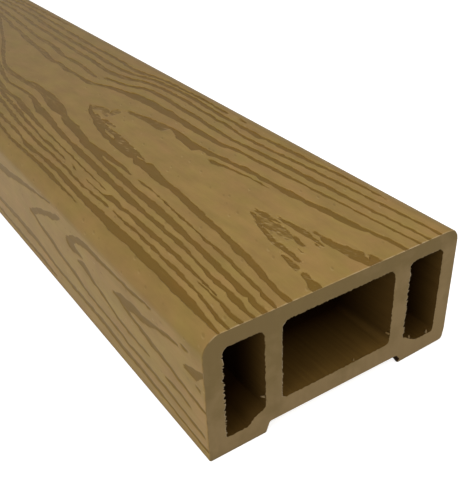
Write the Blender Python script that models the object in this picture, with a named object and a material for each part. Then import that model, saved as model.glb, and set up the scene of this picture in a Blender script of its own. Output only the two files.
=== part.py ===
# Composite handrail: a hollow wood-plastic profile, extruded in one piece and sawn square to length.
# Metres, +Z up. The length runs along Y, X is the width, and the origin is the middle of the underside.

import math

import bpy
from mathutils import Vector

# Overall sizes
LENGTH = 1.800
WIDTH = 0.100
HEIGHT = 0.0475

# Walls of the section
TOP_WALL = 0.0059
SIDE_WALL = 0.0062
WEB = 0.0063
RECESS_FLOOR_WALL = 0.0070
FOOT_WALL = 0.0066

# Side chambers, whose inner foot slopes so that the wall stays thick round the corner of the recess
SIDE_CHAMBER_WIDTH = 0.0150
CHAMBER_SLOPE_RUN = 0.0068

# Recess in the underside, which seats on a post top or a lower rail
RECESS_DEPTH = 0.0040
RECESS_WALL_LEAN = 0.0015

# Corner radii, as the die leaves them
HAND_EDGE_RADIUS = 0.0060
FOOT_EDGE_RADIUS = 0.0015
RECESS_EDGE_RADIUS = 0.0008
CHAMBER_TOP_RADIUS = 0.0020
CHAMBER_FOOT_RADIUS = 0.0014
ARC_STEPS = 8

# Finish of the composite
TEAK_BROWN = (0.270, 0.178, 0.072, 1.0)
TEAK_ROUGHNESS = 0.62
TEAK_METALLIC = 0.0

# Distances from the middle and heights that the outline and the chambers share
HALF_WIDTH = WIDTH / 2
SIDE_CHAMBER_OUTER_X = HALF_WIDTH - SIDE_WALL
SIDE_CHAMBER_INNER_X = SIDE_CHAMBER_OUTER_X - SIDE_CHAMBER_WIDTH
MIDDLE_CHAMBER_X = SIDE_CHAMBER_INNER_X - WEB
CHAMBER_TOP_Z = HEIGHT - TOP_WALL
RECESS_FLOOR_TOP_Z = RECESS_DEPTH + RECESS_FLOOR_WALL

# The mouth of the recess lines up with the inner walls of the side chambers
RECESS_MOUTH_X = SIDE_CHAMBER_INNER_X
RECESS_ROOT_X = RECESS_MOUTH_X - RECESS_WALL_LEAN


def clear_scene():
    for obj in list(bpy.data.objects):
        bpy.data.objects.remove(obj)


# A loop of the section is a list of corners, each an (x, z, radius), anticlockwise as seen from the -Y end


def mirrored(right_half):
    left_half = [(-x, z, radius) for x, z, radius in reversed(right_half)]
    return right_half + left_half


def outer_corners():
    return mirrored(
        [
            (RECESS_ROOT_X, RECESS_DEPTH, RECESS_EDGE_RADIUS),
            (RECESS_MOUTH_X, 0.0, RECESS_EDGE_RADIUS),
            (HALF_WIDTH, 0.0, FOOT_EDGE_RADIUS),
            (HALF_WIDTH, HEIGHT, HAND_EDGE_RADIUS),
        ]
    )


def middle_chamber_corners():
    return mirrored(
        [
            (MIDDLE_CHAMBER_X, RECESS_FLOOR_TOP_Z, CHAMBER_FOOT_RADIUS),
            (MIDDLE_CHAMBER_X, CHAMBER_TOP_Z, CHAMBER_TOP_RADIUS),
        ]
    )


def side_chamber_corners(side):
    right = [
        (SIDE_CHAMBER_INNER_X, RECESS_FLOOR_TOP_Z, CHAMBER_FOOT_RADIUS),
        (SIDE_CHAMBER_INNER_X + CHAMBER_SLOPE_RUN, FOOT_WALL, CHAMBER_FOOT_RADIUS),
        (SIDE_CHAMBER_OUTER_X, FOOT_WALL, CHAMBER_FOOT_RADIUS),
        (SIDE_CHAMBER_OUTER_X, CHAMBER_TOP_Z, CHAMBER_TOP_RADIUS),
        (SIDE_CHAMBER_INNER_X, CHAMBER_TOP_Z, CHAMBER_TOP_RADIUS),
    ]
    if side > 0:
        return right
    return [(-x, z, radius) for x, z, radius in reversed(right)]


def add_rounded_loop(curve, corners):
    # Each corner becomes two points joined by one arc, with straight runs between the arcs
    spline = curve.splines.new("BEZIER")
    spline.bezier_points.add(2 * len(corners) - 1)
    spline.use_cyclic_u = True
    places = [Vector((x, z, 0.0)) for x, z, radius in corners]
    for i, corner in enumerate(places):
        to_last = places[i - 1] - corner
        to_next = places[(i + 1) % len(places)] - corner
        turn = math.pi - to_last.angle(to_next)
        radius = corners[i][2]
        setback = min(radius * math.tan(turn / 2), to_last.length / 2, to_next.length / 2)
        handle = setback * 4 / 3 * math.tan(turn / 4) / math.tan(turn / 2)
        arc_start = spline.bezier_points[2 * i]
        arc_end = spline.bezier_points[2 * i + 1]
        arc_start.handle_left_type = arc_end.handle_right_type = "VECTOR"
        arc_start.handle_right_type = arc_end.handle_left_type = "FREE"
        arc_start.co = corner + to_last.normalized() * setback
        arc_end.co = corner + to_next.normalized() * setback
        arc_start.handle_right = arc_start.co - to_last.normalized() * handle
        arc_end.handle_left = arc_end.co - to_next.normalized() * handle


def extruded_section(name, loops):
    # The filled curve keeps the loops inside the outline open, and stands up to run along Y
    curve = bpy.data.curves.new(name, "CURVE")
    curve.dimensions = "2D"
    curve.fill_mode = "BOTH"
    curve.resolution_u = ARC_STEPS
    curve.extrude = LENGTH / 2
    for corners in loops:
        add_rounded_loop(curve, corners)
    rail = bpy.data.objects.new(name, curve)
    rail.rotation_euler.x = math.pi / 2
    return rail


def teak_composite():
    material = bpy.data.materials.new("teak_composite")
    material.use_nodes = True
    shader = material.node_tree.nodes["Principled BSDF"]
    shader.inputs["Base Color"].default_value = TEAK_BROWN
    shader.inputs["Roughness"].default_value = TEAK_ROUGHNESS
    shader.inputs["Metallic"].default_value = TEAK_METALLIC
    return material


def main():
    clear_scene()
    section = [
        outer_corners(),
        middle_chamber_corners(),
        side_chamber_corners(-1),
        side_chamber_corners(1),
    ]
    handrail = extruded_section("handrail", section)
    handrail.data.materials.append(teak_composite())
    parts = bpy.data.collections.new("composite_handrail")
    bpy.context.scene.collection.children.link(parts)
    parts.objects.link(handrail)


main()
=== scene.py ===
import math
import random

import bmesh
import bpy
import numpy as np
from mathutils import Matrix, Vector
from mathutils.geometry import delaunay_2d_cdt


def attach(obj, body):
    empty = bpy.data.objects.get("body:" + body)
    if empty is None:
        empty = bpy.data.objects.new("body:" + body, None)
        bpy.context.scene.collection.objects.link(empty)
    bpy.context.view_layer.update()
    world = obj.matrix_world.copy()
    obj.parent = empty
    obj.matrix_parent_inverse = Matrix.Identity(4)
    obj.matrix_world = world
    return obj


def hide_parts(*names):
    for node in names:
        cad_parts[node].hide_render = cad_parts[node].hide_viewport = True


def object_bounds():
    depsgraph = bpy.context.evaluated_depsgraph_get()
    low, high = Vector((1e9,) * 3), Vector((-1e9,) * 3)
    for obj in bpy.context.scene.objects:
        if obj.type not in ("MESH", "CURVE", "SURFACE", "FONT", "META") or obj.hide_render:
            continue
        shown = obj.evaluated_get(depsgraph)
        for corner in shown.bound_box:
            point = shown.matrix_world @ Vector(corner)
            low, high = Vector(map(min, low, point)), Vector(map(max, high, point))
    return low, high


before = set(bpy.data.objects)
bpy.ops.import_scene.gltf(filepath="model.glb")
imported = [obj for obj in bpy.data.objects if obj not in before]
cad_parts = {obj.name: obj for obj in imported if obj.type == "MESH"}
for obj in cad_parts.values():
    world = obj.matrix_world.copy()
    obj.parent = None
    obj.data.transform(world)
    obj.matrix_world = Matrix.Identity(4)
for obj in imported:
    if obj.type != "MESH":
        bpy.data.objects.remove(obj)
cadLow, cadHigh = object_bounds()
print("frame loaded:", sorted(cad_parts))

mm = 0.001  # every size below is in millimetres
halfWidth = (cadHigh.x - cadLow.x) / 2 / mm
railHeight = (cadHigh.z - cadLow.z) / mm
railLength = (cadHigh.y - cadLow.y) / mm
nearY = cadLow.y  # the sawn end in front, where along = 0


def deselectAll():
    if bpy.context.mode != "OBJECT":
        bpy.ops.object.mode_set(mode="OBJECT")
    bpy.ops.object.select_all(action="DESELECT")


def openForEditing(piece, mode="FACE"):
    deselectAll()
    piece.select_set(True)
    bpy.context.view_layer.objects.active = piece
    bpy.ops.object.mode_set(mode="EDIT")
    bpy.ops.mesh.select_mode(type=mode)
    bpy.ops.mesh.select_all(action="DESELECT")


def pick(kind, wanted):  # selects the corners, edges or faces that pass, and says how many there are
    cage = bmesh.from_edit_mesh(bpy.context.object.data)
    bpy.ops.mesh.select_all(action="DESELECT")
    chosen = [part for part in getattr(cage, kind) if wanted(part)]
    for part in chosen:
        part.select_set(True)
    cage.select_flush_mode()
    bmesh.update_edit_mesh(bpy.context.object.data)
    return len(chosen)


def closeTo(value, goal, reach=0.1):
    return abs(value - goal) < reach


def middleOf(part):  # of an edge or a face, in millimetres
    return sum((corner.co for corner in part.verts), Vector()) / len(part.verts) / mm


def runsAlong(edge):
    a, b = (corner.co for corner in edge.verts)
    return abs(a.y - b.y) > 0.9 * (a - b).length


def atEnd(corner, sign=0):  # in the plane of a sawn end: -1 is the near one, 1 the far one, 0 either
    y = sign * corner.co.y if sign else abs(corner.co.y)
    return y > railLength / 2 * mm - 1e-5


def cutAcross(place, normal, **choices):
    bpy.ops.mesh.select_all(action="SELECT")
    bpy.ops.mesh.bisect(plane_co=Vector(place) * mm, plane_no=Vector(normal).normalized(), **choices)


def moveBy(x, y, z, **choices):  # what is selected
    bpy.ops.transform.translate(value=(x * mm, y * mm, z * mm), **choices)


def roundEdges(radius, steps):
    bpy.ops.mesh.bevel(offset=radius * mm, segments=steps, affect="EDGES")


def roughen(size, seed):  # each selected point moves its own way
    bpy.ops.transform.vertex_random(offset=size * mm, uniform=1.0, normal=0.0, seed=seed)


def settle(piece, scale=(1, 1, 1)):  # its mesh takes up its place, turn and scale
    piece.scale = scale
    bpy.ops.object.transform_apply(location=True, rotation=True, scale=True)


def mark(mesh, name, values):  # a value at each point, which the finish reads
    mesh.attributes.new(name, "FLOAT", "POINT").data.foreach_set("value", values)


def putInScene(name, data):
    holder = bpy.data.objects.new(name, data)
    bpy.context.scene.collection.objects.link(holder)
    return holder


def joinInto(main, others):
    deselectAll()
    for piece in others:
        piece.select_set(True)
    main.select_set(True)
    bpy.context.view_layer.objects.active = main
    bpy.ops.object.join()
    return main


# Each grain line is a list of stations: the distance along the rail, then the line's two edges
# across the unrolled skin
topGrain = {
    "hem": [(92, -45.2, -44.9), (100, -45.0, -44.3), (110, -45.1, -43.9), (116, -45.1, -43.5),
        (121, -44.9, -43.0), (132, -44.7, -42.8), (141, -44.7, -43.1), (150, -45.0, -43.3), (158, -44.9, -43.4),
        (165, -45.0, -43.7), (170, -44.4, -43.2), (176, -44.0, -42.7), (190, -43.4, -41.6), (215, -41.5, -39.6),
        (240, -40.2, -37.8), (275, -39.0, -37.2), (310, -37.4, -35.0), (350, -35.6, -33.2), (400, -33.4, -31.4),
        (450, -31.8, -29.2), (500, -29.6, -27.4), (550, -27.4, -25.6), (600, -25.2, -24.0)],
    "first": [(0, -44.6, -43.6), (5, -44.6, -43.3), (10, -44.6, -42.5), (15, -44.7, -41.8), (20, -44.6, -41.3),
        (26, -44.7, -40.9), (31, -44.3, -40.8), (37, -44.0, -40.6), (42, -44.3, -40.3), (50, -44.0, -40.2),
        (56, -43.7, -40.0), (63, -44.2, -40.1), (70, -44.1, -40.1), (75, -43.5, -40.4), (81, -43.4, -40.0),
        (90, -43.1, -40.2), (99, -42.8, -40.2), (105, -42.3, -40.0), (111, -42.2, -39.9), (116, -41.8, -39.5),
        (121, -41.4, -39.2), (130, -41.4, -39.4), (140, -41.2, -39.8), (144, -42.0, -40.0), (151, -42.5, -40.0),
        (156, -41.8, -40.1), (160, -40.9, -39.9), (165, -40.3, -39.3), (171, -40.4, -38.5), (180, -40.0, -38.4),
        (200, -39.4, -37.4), (225, -36.8, -34.6), (250, -35.6, -32.6), (280, -34.0, -31.6), (320, -31.6, -28.8),
        (370, -28.8, -26.4), (420, -26.4, -23.6), (470, -24.4, -22.0), (530, -22.0, -20.0), (570, -21.0, -18.8),
        (600, -20.7, -18.6)],
    "second": [(0, -41.4, -40.2), (5, -41.5, -40.0), (8, -41.0, -39.7), (10, -40.5, -39.5), (15, -40.0, -38.7),
        (20, -39.1, -38.2), (25, -39.2, -37.8), (31, -38.8, -37.3), (38, -38.6, -36.9), (42, -38.5, -37.4),
        (45, -38.2, -37.2), (49, -38.4, -36.4), (51.5, -37.9, -36.5), (52.5, -38.3, -36.9), (57, -38.0, -36.9),
        (61, -37.4, -36.6), (65, -37.9, -36.5), (73, -37.9, -36.9), (79, -37.5, -36.7), (81, -37.2, -37.0)],
    "secondOn": [(82, -37.5, -37.2), (84, -37.8, -36.7), (88, -37.8, -36.4), (95, -38.1, -37.0),
        (100, -37.8, -37.1), (103, -38.4, -37.3), (110, -38.0, -36.9), (114, -37.9, -37.0), (118, -37.5, -36.5),
        (121, -37.3, -36.0), (127, -37.3, -36.0), (138, -36.8, -35.8), (142, -37.4, -35.8), (150, -37.5, -35.7),
        (157, -37.1, -35.6), (165, -36.8, -35.2), (171, -36.3, -34.9), (180, -36.3, -34.5), (195, -34.6, -32.9),
        (215, -33.0, -31.0), (240, -31.2, -28.8), (270, -29.6, -27.2), (310, -27.2, -25.0), (355, -24.2, -21.8),
        (400, -21.8, -19.0), (450, -18.4, -15.6), (500, -15.0, -12.2), (550, -12.8, -9.6), (585, -11.8, -8.4),
        (600, -11.5, -7.6)],
    "thirdHead": [(0, -37.4, -35.6), (3, -37.7, -35.8), (7, -37.8, -35.8), (9, -37.0, -35.6),
        (12, -36.4, -35.3), (15, -36.5, -35.5), (20, -36.1, -35.5), (24, -36.0, -35.5), (26, -35.8, -35.6)],
    "third": [(14, -35.5, -35.1), (18, -35.2, -34.5), (24, -34.9, -34.1), (30, -34.9, -33.7),
        (35, -34.8, -33.2), (42, -34.6, -33.0), (50, -34.7, -32.6), (60, -34.8, -32.5), (66, -34.9, -32.6),
        (70, -34.4, -32.4), (73, -34.0, -32.5), (77, -34.3, -32.6), (80, -35.0, -33.1), (83, -34.7, -32.9),
        (86, -34.9, -32.3), (90, -35.2, -32.0), (91.5, -35.2, -32.8), (92.5, -35.1, -34.4), (97, -34.9, -34.5),
        (105, -35.0, -34.7), (109, -34.8, -34.7)],
    "thirdOn": [(116, -35.1, -34.6), (121, -34.4, -33.7), (125, -33.4, -33.1)],
    "thirdLast": [(128, -34.2, -34.0), (134, -34.2, -33.3), (140, -34.2, -33.2), (144, -34.0, -32.8),
        (147, -34.2, -32.3), (150, -34.3, -32.6), (155, -34.2, -33.3), (159, -33.7, -32.9), (163, -33.3, -32.3),
        (168, -33.0, -31.6), (173, -33.2, -31.5), (178, -32.9, -31.0), (190, -31.6, -29.6), (215, -30.0, -28.0),
        (245, -26.8, -24.8), (280, -24.6, -22.6), (320, -22.4, -20.4), (360, -18.8, -17.0), (400, -15.4, -13.0),
        (440, -10.4, -8.0), (480, -4.6, -1.8), (510, 2.0, 4.6), (522, 5.8, 8.6), (530, 9.4, 10.4)],
    "thinThird": [(94, -32.8, -32.5), (100, -32.4, -31.7), (106, -32.2, -31.6), (112, -32.0, -31.2),
        (121, -31.6, -30.8), (130, -31.2, -30.3), (140, -30.7, -29.9), (145, -30.5, -29.9), (152, -30.4, -29.2),
        (160, -30.0, -28.8), (165, -29.9, -28.6), (169, -30.2, -28.1), (176, -29.6, -27.6), (183, -29.2, -26.8),
        (190, -29.3, -25.8), (200, -28.0, -25.0), (207, -26.9, -24.2), (214, -27.2, -24.9), (221, -28.0, -25.2),
        (235, -25.6, -23.4), (265, -21.2, -19.2), (300, -17.0, -14.6), (340, -10.6, -8.0), (380, -3.6, -1.0),
        (420, 4.6, 7.4), (450, 10.6, 13.6), (466, 15.2, 18.2), (474, 18.8, 19.6)],
    "fourth": [(0, -33.0, -31.6), (4, -33.1, -31.8), (8, -33.2, -30.8), (11, -33.1, -30.3), (15, -32.2, -30.4),
        (25, -32.2, -30.3), (27, -31.7, -30.2), (30, -31.2, -30.0), (36, -30.6, -29.6), (40, -30.3, -29.1),
        (45, -30.2, -28.4), (50, -30.1, -28.0), (57, -30.1, -28.3), (60, -30.0, -27.7), (66, -29.8, -27.9),
        (72, -29.8, -28.0), (80, -30.1, -27.4), (86, -30.1, -26.8), (91, -29.7, -26.9), (94, -29.5, -26.5),
        (97, -29.3, -26.9), (101, -29.1, -26.6), (106, -29.3, -26.0), (114, -28.8, -25.9), (121, -28.3, -25.4),
        (130, -28.1, -25.1), (135, -27.8, -24.8), (139, -27.1, -24.5), (144, -26.7, -25.0), (150, -26.8, -24.1),
        (156, -26.3, -23.8), (161, -25.8, -23.4), (166, -25.4, -22.5), (171, -24.9, -21.7), (178, -24.2, -20.8),
        (185, -24.8, -20.3), (191, -23.3, -19.8), (200, -20.9, -18.5), (208, -20.2, -18.0), (216, -20.2, -18.2),
        (225, -21.2, -19.4), (232, -22.0, -20.4), (245, -20.6, -18.2), (275, -14.0, -11.2), (310, -5.4, -2.4),
        (350, 5.6, 8.8), (385, 13.6, 16.8), (408, 18.4, 21.6), (418, 21.6, 22.4)],
    "fifth": [(0, -29.7, -27.3), (5, -29.6, -27.2), (7.5, -29.1, -26.9), (9, -28.4, -26.6),
        (10.5, -29.2, -26.5), (14, -29.1, -26.3), (18, -28.2, -26.0), (25, -28.0, -25.5), (31, -27.7, -25.0),
        (37, -27.0, -24.6), (45, -26.4, -24.2), (50, -26.3, -24.0), (52, -26.3, -23.4), (60, -26.0, -22.9),
        (65, -25.6, -22.6), (75, -25.5, -22.1), (80, -25.3, -22.3), (87, -25.3, -22.2), (91, -25.0, -22.6),
        (95, -24.8, -22.0), (105, -24.8, -21.6), (110, -24.3, -21.2), (115, -24.0, -21.4), (119, -23.8, -21.4),
        (121, -23.6, -21.6), (123, -23.5, -20.6), (126, -23.2, -20.0), (131, -22.9, -18.4), (136, -23.0, -18.3),
        (139, -22.8, -19.2), (141, -22.5, -18.2), (144, -21.5, -17.8), (150, -21.0, -16.9), (154, -20.6, -16.5),
        (157, -20.4, -15.6), (165, -19.7, -15.4), (169, -18.9, -15.1), (173, -17.4, -14.6), (176, -17.5, -13.0),
        (182, -18.2, -11.8), (188, -17.6, -10.8), (195, -16.5, -10.0), (201, -15.2, -9.6), (209, -14.0, -10.0),
        (215, -14.4, -10.0), (222, -15.3, -10.2), (226, -15.4, -11.6), (229, -15.8, -12.8), (237, -15.9, -12.7),
        (244, -16.8, -13.2), (252, -16.2, -13.2), (262, -13.9, -11.8), (275, -10.0, -7.6), (288, -5.8, -3.0),
        (300, -1.0, 1.4), (310, 2.4, 4.4), (325, 6.4, 8.4), (345, 12.4, 14.8), (362, 16.6, 19.4),
        (371, 19.8, 20.8)],
    "sixth": [(0, -25.2, -24.2), (3, -25.2, -23.5), (7, -25.1, -23.4), (9, -24.2, -23.0), (12, -24.2, -22.4),
        (15, -23.9, -22.2), (18, -23.4, -22.1), (22, -23.4, -21.7), (25, -22.8, -21.4), (32, -22.3, -20.9),
        (39, -21.9, -20.6), (43, -22.1, -20.8), (48, -21.2, -20.6), (55, -20.9, -20.1), (60, -20.9, -19.8),
        (65, -20.4, -19.6), (75, -19.7, -18.9), (84, -19.1, -18.5), (88, -19.4, -18.3), (92, -19.5, -18.5),
        (97, -19.1, -18.9)],
    "sixthOn": [(100, -19.3, -19.0), (104, -19.7, -18.4), (108, -19.4, -17.7), (111, -19.9, -17.4),
        (116, -20.4, -17.9), (121, -20.3, -18.0), (126, -20.6, -17.8), (131, -20.9, -18.3),
        (137, -21.2, -18.9)],
    "archLeft": [(0, -20.7, -18.6), (3, -20.8, -18.5), (7, -20.5, -18.5), (10, -19.9, -18.1),
        (15, -19.8, -17.3), (17, -19.1, -16.4), (20, -18.9, -16.0), (23, -18.6, -15.6), (25, -17.9, -15.2),
        (28, -17.7, -15.0), (31, -18.1, -14.6), (35, -16.9, -14.2), (40, -16.4, -13.9), (46, -15.7, -13.2),
        (50, -15.7, -13.2), (58, -15.6, -12.5), (65, -15.1, -11.7), (71, -14.3, -11.4), (75, -13.9, -10.8),
        (80, -13.5, -10.6), (86, -14.0, -10.6), (91, -14.3, -10.4), (96, -13.8, -9.2), (104, -13.4, -8.0),
        (105.5, -13.3, -8.2), (107, -13.7, -10.0), (109, -14.1, -9.2), (111, -12.9, -9.6), (113, -11.9, -9.9),
        (115, -12.9, -9.2), (119, -13.2, -9.0), (125, -13.1, -9.3), (131, -12.9, -9.4), (135, -12.2, -9.5),
        (140, -12.4, -9.6), (145, -11.3, -9.2), (149, -10.9, -6.8), (155, -9.6, -5.2), (160, -7.8, -4.8),
        (165, -6.8, -4.2), (168, -6.3, -3.8), (172, -4.6, -2.9), (176, -2.2, -0.9), (179, -0.8, -0.6)],
    "archLeftUnder": [(107.5, -9.1, -8.9), (110, -9.4, -8.5), (114, -9.3, -8.0), (118, -9.5, -7.2),
        (122, -9.8, -6.9), (128, -9.6, -6.4), (134, -9.8, -5.9), (139, -8.2, -5.4), (144, -8.3, -5.8),
        (150, -7.4, -5.3), (156, -7.0, -4.9), (160, -6.2, -4.4)],
    "archLeftSpur": [(145, -3.7, -3.4), (148, -4.2, -2.9), (151, -4.8, -3.0), (155, -5.2, -2.6),
        (158, -5.2, -3.9), (163, -4.8, -3.3), (168, -4.2, -2.9)],
    "archNose": [(158, -2.4, -1.6), (162, -1.8, 1.3), (165, -1.2, 2.9), (168, -0.9, 3.6), (171, -2.4, 2.4),
        (174, -2.8, 0.8), (177, -1.6, -0.4)],
    "archNoseUnder": [(157.5, 0.6, 1.2), (160, 0.5, 6.8), (162, 1.0, 7.2), (164, 3.2, 6.4), (166, 4.6, 5.2)],
    "archRightUp": [(129, 10.8, 14.6), (132, 9.7, 14.7), (135, 9.2, 15.4), (140, 9.8, 14.2), (145, 9.5, 13.6),
        (150, 8.9, 11.9), (155, 8.1, 11.0), (158, 8.2, 10.6), (160.5, 7.4, 9.6)],
    "archRight": [(0, 25.4, 27.6), (5, 25.2, 27.2), (8, 24.9, 27.0), (11, 24.2, 26.2), (15, 23.9, 25.5),
        (17, 22.8, 25.4), (20, 22.1, 24.7), (23, 21.3, 24.8), (25, 21.2, 24.3), (30, 20.9, 24.0),
        (35, 20.2, 23.6), (38, 20.0, 23.1), (41, 19.3, 22.4), (45, 19.4, 21.7), (50, 18.2, 21.5),
        (54.5, 17.6, 21.2), (57, 18.2, 20.8), (60, 18.2, 20.3), (65, 17.7, 20.3), (68, 17.3, 19.9),
        (71, 17.9, 19.8), (75, 16.9, 19.7), (80, 16.4, 19.5), (82, 16.1, 18.6), (85, 15.8, 17.9),
        (90, 15.0, 17.8), (94, 14.5, 17.1), (97, 13.0, 16.6), (100, 13.5, 16.2), (103.5, 13.3, 15.9),
        (104.5, 10.6, 15.8), (106, 10.3, 15.7), (110, 10.9, 15.6), (115, 11.4, 15.7), (120, 11.6, 16.0),
        (123, 12.8, 16.0), (126, 13.9, 16.1), (131, 14.2, 15.7), (136, 14.6, 15.5)],
    "archRightTwin": [(59, 16.0, 16.3), (65, 15.4, 16.3), (71, 15.1, 16.0), (75, 14.0, 15.4), (80, 13.3, 14.7),
        (84, 12.6, 14.2), (86, 11.5, 13.8), (90, 10.4, 12.9), (93, 10.8, 12.5), (95, 11.6, 12.0)],
    "noseTop": [(0, -11.5, -7.6), (2, -11.6, -7.3), (3.5, -10.9, -7.4), (5, -9.9, -7.6), (8, -9.3, -6.6),
        (10, -8.4, -6.7), (10.6, -7.9, -6.9)],
    "noseTopOn": [(10.8, -8.7, -7.4), (12, -8.8, -6.6), (16, -8.4, -6.1), (20, -7.5, -6.1), (23.3, -6.5, -6.0)],
    "noseMid": [(13.5, -5.0, -4.5), (16, -5.4, -3.9), (21, -5.2, -3.1), (26, -5.3, -2.9), (31, -5.1, -3.0),
        (33, -4.2, -2.3), (37, -3.5, -1.7), (41.5, -2.4, -1.0), (45, -1.3, -0.4)],
    "noseMark": [(17.5, -1.4, -1.0), (19.5, -1.1, -0.5), (22, -0.5, -0.1)],
    "noseTip": [(26, -0.4, 1.6), (29, -0.5, 3.0), (32, -0.5, 3.8), (35, -0.4, 4.3), (38, -0.6, 3.8),
        (42, 0.0, 3.0), (47, 0.9, 2.5)],
    "noseTipTop": [(34, -0.9, -0.5), (38, -1.2, -0.2), (41, -1.5, 0.2), (44, -0.9, 0.7), (47, -0.1, 1.3),
        (50.5, 0.8, 1.6)],
    "noseTipUnder": [(36, 4.4, 4.9), (40, 3.9, 5.0), (43, 2.6, 5.0), (46, 2.3, 4.9), (48, 2.2, 4.5),
        (51, 2.4, 3.4)],
    "noseTongue": [(20, 1.8, 2.4), (22, 1.0, 2.7), (25, 1.1, 3.2), (27, 2.0, 3.7), (29, 2.8, 3.5)],
    "noseLow": [(16.5, 6.5, 7.1), (20, 6.6, 7.6), (24, 6.2, 7.8), (27, 5.8, 8.6), (29, 5.7, 8.8),
        (33, 5.6, 8.2), (37, 5.5, 7.5), (40, 5.6, 7.0), (43, 6.1, 6.8)],
    "noseFeather": [(16.5, 5.3, 5.6), (20, 5.3, 6.2), (22, 5.6, 6.0)],
    "noseRoot": [(0, 10.6, 13.2), (3, 10.0, 13.1), (5, 9.3, 13.6), (8, 8.9, 14.7), (10, 8.8, 13.6),
        (13.5, 8.9, 13.2), (15, 8.3, 12.2), (18, 8.3, 11.5), (20, 8.2, 11.3), (22.5, 9.5, 10.9),
        (26, 9.2, 10.6), (28, 9.7, 10.3)],
    "noseRootUnder": [(0, 12.8, 16.6), (3, 13.0, 16.2), (4.5, 14.6, 15.9), (6.5, 14.9, 15.4)],
    "rightFirst": [(0, 31.7, 33.2), (5, 31.6, 32.8), (9, 31.2, 32.2), (10, 30.6, 32.0), (14, 30.8, 31.8),
        (17, 30.4, 31.5), (20, 30.1, 31.4), (27, 29.7, 30.7), (35, 29.2, 30.2), (40, 28.5, 29.9),
        (45, 27.9, 29.4), (50, 27.4, 28.8), (53, 27.7, 28.6), (60, 26.7, 28.3), (66, 26.1, 28.1),
        (75, 25.4, 27.5), (80, 24.8, 26.8), (87, 24.7, 26.1), (91, 24.5, 26.1), (94, 23.6, 25.9),
        (98, 23.1, 25.5), (100, 21.7, 24.8), (104, 21.4, 24.1), (110, 21.2, 24.4), (114, 20.9, 24.2),
        (120, 20.5, 24.4), (126, 20.4, 24.1), (133, 20.9, 24.5), (139, 20.6, 24.1), (145, 20.0, 25.1),
        (150, 19.5, 24.6), (155, 19.6, 24.3), (160, 19.2, 24.8), (163, 19.0, 24.2), (168, 18.6, 23.6),
        (170, 17.7, 23.5), (175, 17.4, 23.0), (178, 17.2, 22.2), (180, 17.2, 20.6), (184, 16.2, 19.8),
        (190, 15.0, 18.4), (193, 14.5, 17.5), (196, 13.0, 16.3), (199, 12.1, 14.6), (202, 9.9, 13.3),
        (205, 9.2, 12.7), (211, 9.3, 12.0), (216, 9.7, 11.6), (225, 9.5, 11.7), (230, 7.9, 11.5),
        (235, 8.7, 11.2), (243, 9.3, 12.0), (250, 7.8, 10.8), (256, 7.9, 11.5), (264, 9.4, 13.1),
        (272, 10.0, 13.6), (281, 10.7, 13.4), (291, 11.1, 14.1), (300, 11.6, 15.2), (310, 13.4, 16.0),
        (320, 14.2, 16.8), (330, 14.4, 17.2), (340, 16.2, 18.8), (350, 16.7, 19.3), (362, 18.4, 21.0),
        (371, 20.0, 20.8)],
    "rightSecond": [(0, 35.8, 37.5), (4, 35.9, 37.1), (10, 35.3, 36.7), (15, 35.0, 36.3), (20, 34.7, 35.9),
        (24, 33.7, 35.5), (28, 34.1, 35.2), (34, 33.2, 35.2), (40, 32.8, 34.9), (48, 32.6, 34.7),
        (51, 31.8, 34.4), (55, 31.0, 34.0), (58, 31.1, 34.1), (62, 31.2, 33.2), (66, 31.0, 33.6),
        (70, 30.4, 33.1), (76, 30.2, 32.9), (81, 29.8, 32.3), (86, 29.7, 31.9), (91, 28.9, 31.3),
        (98, 28.7, 30.6), (103, 28.1, 29.9), (110, 28.3, 30.1), (116, 27.9, 30.3), (121, 28.0, 30.4),
        (128, 28.7, 30.8), (135, 28.5, 31.3), (144, 28.3, 30.9), (151, 28.5, 31.2), (160, 28.9, 31.8),
        (168, 28.5, 31.3), (175, 28.2, 31.0), (179, 27.5, 30.2), (182, 25.2, 29.0), (185, 24.4, 27.8),
        (188, 22.8, 25.4), (192, 21.5, 24.2), (197, 20.8, 23.1), (202, 19.8, 21.7), (205, 18.8, 21.4),
        (207.5, 19.9, 20.6)],
    "rightSecondOn": [(208, 16.6, 17.2), (211, 16.3, 18.0), (219, 16.2, 18.7), (226, 17.0, 19.4),
        (235, 17.3, 20.0), (243, 16.8, 19.4), (252, 16.3, 18.6), (260, 16.8, 19.9), (268, 17.8, 21.0),
        (277, 18.3, 21.5), (287, 18.5, 21.3), (298, 18.2, 20.6), (312, 19.5, 22.0), (330, 20.4, 22.8),
        (350, 22.0, 24.2), (368, 22.6, 25.4), (395, 23.4, 26.0), (410, 22.6, 24.6), (418, 21.9, 22.5)],
    "rightThird": [(0, 40.7, 42.5), (5, 40.9, 42.4), (10, 40.7, 42.0), (15, 40.2, 41.7), (22, 39.8, 41.4),
        (30, 39.2, 40.6), (36, 38.8, 40.2), (42, 38.5, 40.0), (50, 38.0, 39.6), (54, 37.4, 39.0),
        (60, 37.1, 38.8), (70, 36.4, 38.2), (76, 35.8, 37.6), (85, 34.9, 36.6), (95, 34.0, 35.9),
        (104, 33.7, 35.2), (111, 34.2, 35.7), (120, 34.9, 36.8), (125, 34.3, 36.1), (131, 35.0, 36.7),
        (140, 34.6, 36.3), (146, 35.1, 37.1), (155, 35.1, 37.4), (165, 34.7, 37.0), (175, 34.1, 36.6),
        (183, 32.6, 35.4), (190, 30.4, 33.6), (196, 27.3, 31.0), (201, 25.9, 29.7), (209, 24.5, 27.9),
        (217, 24.2, 27.0), (226, 24.8, 27.5), (238, 25.3, 28.1), (255, 24.8, 27.9), (270, 25.5, 28.2),
        (286, 25.2, 28.6), (300, 26.3, 28.9), (320, 26.0, 28.6), (332, 26.6, 29.3), (345, 28.1, 30.2),
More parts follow.
